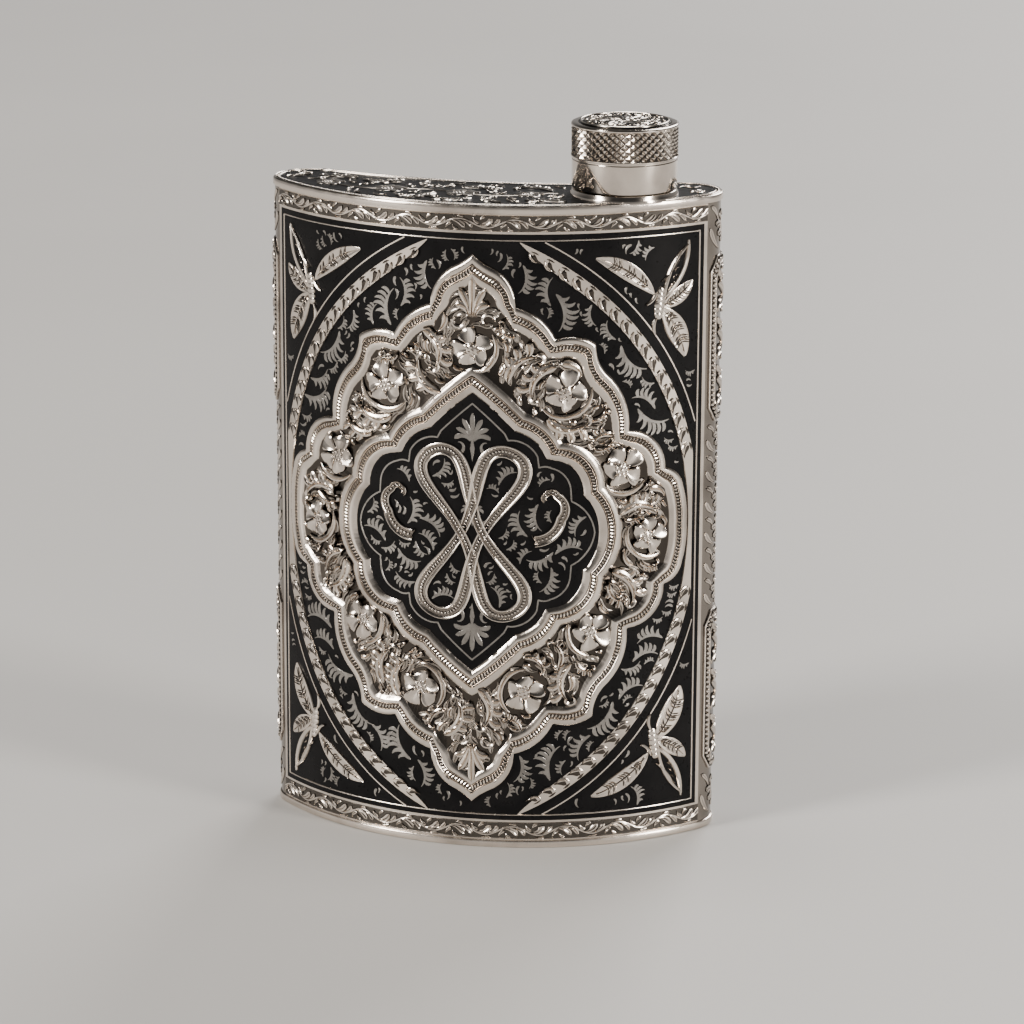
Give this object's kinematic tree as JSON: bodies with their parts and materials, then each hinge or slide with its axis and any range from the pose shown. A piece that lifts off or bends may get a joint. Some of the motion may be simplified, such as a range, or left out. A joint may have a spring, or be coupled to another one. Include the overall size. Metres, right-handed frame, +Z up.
{
  "type": "hip flask",
  "caption": "Curved silver hip flask with niello front, lobed chased medallion, raised ribbon knot, side panels and a knurled screw cap on an off-centre neck.",
  "frame": {"origin": "middle of the underside, at the centre of the overall depth", "axes": "+Z up through the neck, +X to the viewer's right towards the neck, -Y out of the convex decorated front"},
  "size_m": [0.0938, 0.0344, 0.1491],
  "materials": {
    "silver": "polished and hand-engraved silver",
    "niello": "black niello inlay, satin polish",
    "gilt_brass": "turned brass",
    "seal_rubber": "matt food-grade seal"
  },
  "bodies": {
    "flask": {"front_shell": "silver", "back_shell": "silver", "side_wall_right": "silver", "side_wall_left": "silver", "top_plate": "silver", "base_plate": "silver", "neck_flange": "silver", "neck_tube": "silver", "front_niello": "niello", "frame_lines": "silver", "oval_band": "silver", "corner_leaves": "silver", "medallion_plate": "silver", "medallion_rope_outer": "silver", "medallion_flowers": "silver", "medallion_rope_inner": "silver", "centre_niello": "niello", "knot_ribbon_lower": "silver", "knot_ribbon_upper": "silver", "side_scrolls": "silver", "palmettes": "silver", "side_panel_right_upper": "silver", "side_panel_right_lower": "silver", "side_panel_left_upper": "silver", "side_panel_left_lower": "silver", "back_niello": "niello", "back_medallion": "silver"},
    "seal": {"cap_seal": "seal_rubber"},
    "cap": {"cap_shell": "silver", "cap_knurl_ring": "silver", "cap_top_disc": "silver", "cap_insert": "gilt_brass"}
  },
  "joints": [
    {"name": "cap_lift", "type": "slide", "parent": "flask", "child": "seal", "axis": [0, 0, 1], "range_m": [0, 0.018]},
    {"name": "cap_turn", "type": "hinge", "parent": "seal", "child": "cap", "pos_m": [0.0273, 0.00253, 0.14], "axis": [0, 0, 1], "range_deg": [0, 2700]}
  ],
  "couplings": [
    {"joint": "cap_lift", "follows": "cap_turn", "m_per_rad": 0.00038197}
  ]
}
